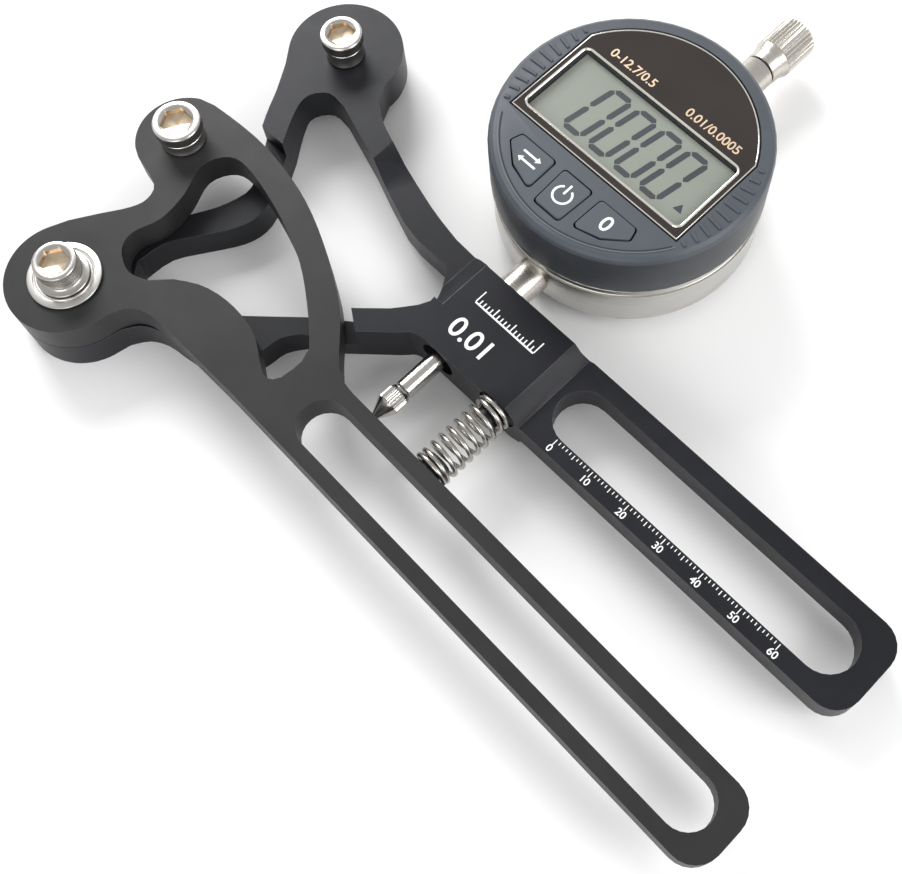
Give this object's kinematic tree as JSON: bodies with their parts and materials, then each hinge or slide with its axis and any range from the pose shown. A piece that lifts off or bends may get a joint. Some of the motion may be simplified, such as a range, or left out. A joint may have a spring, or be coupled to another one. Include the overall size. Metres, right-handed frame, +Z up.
{
  "type": "bicycle spoke tension meter",
  "caption": "Hand-held bicycle spoke tension meter: a black frame and a sprung arm on a pivot, spoke posts, and a round digital indicator",
  "frame": {"origin": "centre of the bounding box's lowest face", "axes": "+X along the fixed handle towards its free end, +Y along the indicator's spindle towards its cap, +Z up out of the display"},
  "size_m": [0.1956, 0.1726, 0.0311],
  "materials": {
    "black_anodised": "matt black anodised",
    "stainless": "turned stainless steel",
    "satin_steel": "satin",
    "grey_plastic": "fine matt blue-grey",
    "button_rubber": "matt",
    "gloss_panel": "high gloss",
    "clear_window": "clear",
    "lcd_grey": "grey-green reflective",
    "board_green": "solder mask",
    "spring_steel": "drawn wire",
    "brass": "turned"
  },
  "bodies": {
    "fixed_frame": {"fixed_frame": "black_anodised", "outer_post_sleeve": "stainless", "outer_post_screw": "stainless", "pivot_bushing": "brass", "pivot_washer": "satin_steel", "pivot_collar": "stainless", "pivot_screw": "stainless", "indicator_case": "satin_steel", "indicator_bezel": "grey_plastic", "back_cover": "grey_plastic", "battery_cover": "grey_plastic", "battery": "stainless", "back_cover_screw_1": "stainless", "back_cover_screw_2": "stainless", "back_cover_screw_3": "stainless", "back_cover_screw_4": "stainless", "display_panel": "gloss_panel", "display_window": "clear_window", "lcd_module": "lcd_grey", "circuit_board": "board_green", "reader_board": "board_green", "indicator_stem": "satin_steel", "upper_sleeve": "satin_steel", "stem_grub_screw": "stainless", "handle_spring": "spring_steel", "spindle_spring": "spring_steel"},
    "moving_arm": {"moving_arm": "black_anodised", "middle_post_sleeve": "stainless", "middle_post_screw": "stainless"},
    "spindle": {"spindle": "stainless", "contact_tip": "stainless", "spindle_cap": "satin_steel", "spindle_collar": "brass", "measuring_scale": "lcd_grey"},
    "inch_mm_button": {"inch_mm_button": "button_rubber"},
    "on_off_button": {"on_off_button": "button_rubber"},
    "zero_button": {"zero_button": "button_rubber"}
  },
  "joints": [
    {"name": "arm_pivot", "type": "hinge", "parent": "fixed_frame", "child": "moving_arm", "pos_m": [-0.07837, -0.07322, 0.01165], "axis": [0, 0, 1], "range_deg": [0, 5.5], "stiffness_Nm_per_rad": 11, "deforming": ["handle_spring"]},
    {"name": "spindle_slide", "type": "slide", "parent": "fixed_frame", "child": "spindle", "axis": [0, 1, 0], "range_m": [0, 0.0127], "deforming": ["spindle_spring"]},
    {"name": "inch_mm_button_press", "type": "slide", "parent": "fixed_frame", "child": "inch_mm_button", "axis": [0, 0, -1], "range_m": [0, 0.0006], "stiffness_N_per_m": 900},
    {"name": "on_off_button_press", "type": "slide", "parent": "fixed_frame", "child": "on_off_button", "axis": [0, 0, -1], "range_m": [0, 0.0006], "stiffness_N_per_m": 900},
    {"name": "zero_button_press", "type": "slide", "parent": "fixed_frame", "child": "zero_button", "axis": [0, 0, -1], "range_m": [0, 0.0006], "stiffness_N_per_m": 900}
  ],
  "couplings": [
    {"joint": "spindle_slide", "follows": "arm_pivot", "m_per_rad": 0.07}
  ]
}
